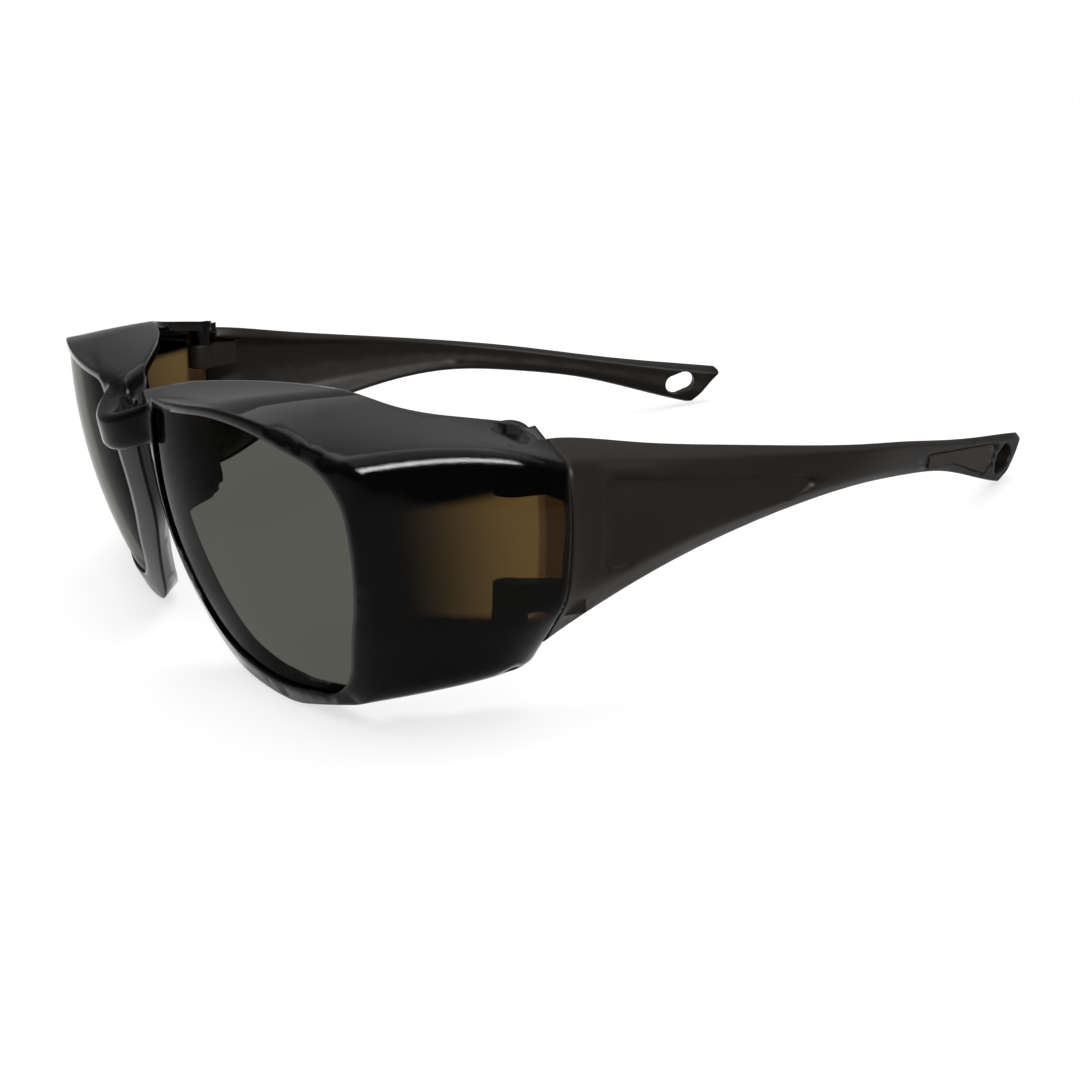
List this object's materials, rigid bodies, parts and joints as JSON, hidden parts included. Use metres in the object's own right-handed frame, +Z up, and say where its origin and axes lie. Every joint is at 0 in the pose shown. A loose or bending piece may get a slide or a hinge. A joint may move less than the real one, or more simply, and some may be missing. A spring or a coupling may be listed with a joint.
{
  "type": "fitover sunglasses",
  "caption": "Wrap-around fitover sunglasses with flat-topped lenses, a one-piece shielded front and folding temples.",
  "frame": {"origin": "under the middle of the open sunglasses, on the surface they stand on", "axes": "+X to the wearer's left, +Y back from the lenses to the temple tips, +Z up"},
  "size_m": [0.1488, 0.1474, 0.0453],
  "materials": {
    "front": "polished translucent smoke brown",
    "lens": "polished gray tint",
    "temple": "satin",
    "pin": "bright",
    "pad": "matte"
  },
  "bodies": {
    "front": {"front_frame": "front", "lens_left": "lens", "lens_right": "lens", "hinge_pin_upper_left": "pin", "hinge_pin_lower_left": "pin", "hinge_pin_upper_right": "pin", "hinge_pin_lower_right": "pin"},
    "left_temple": {"temple_left": "temple", "tip_pad_left": "pad"},
    "right_temple": {"temple_right": "temple", "tip_pad_right": "pad"}
  },
  "joints": [
    {"name": "hinge_left", "type": "hinge", "parent": "front", "child": "left_temple", "pos_m": [0.0644, -0.03565, 0.03789], "axis": [0, 0.1685, 0.9857], "range_deg": [0, 90]},
    {"name": "hinge_right", "type": "hinge", "parent": "front", "child": "right_temple", "pos_m": [-0.0644, -0.03565, 0.03789], "axis": [0, -0.1685, -0.9857], "range_deg": [0, 74]}
  ]
}
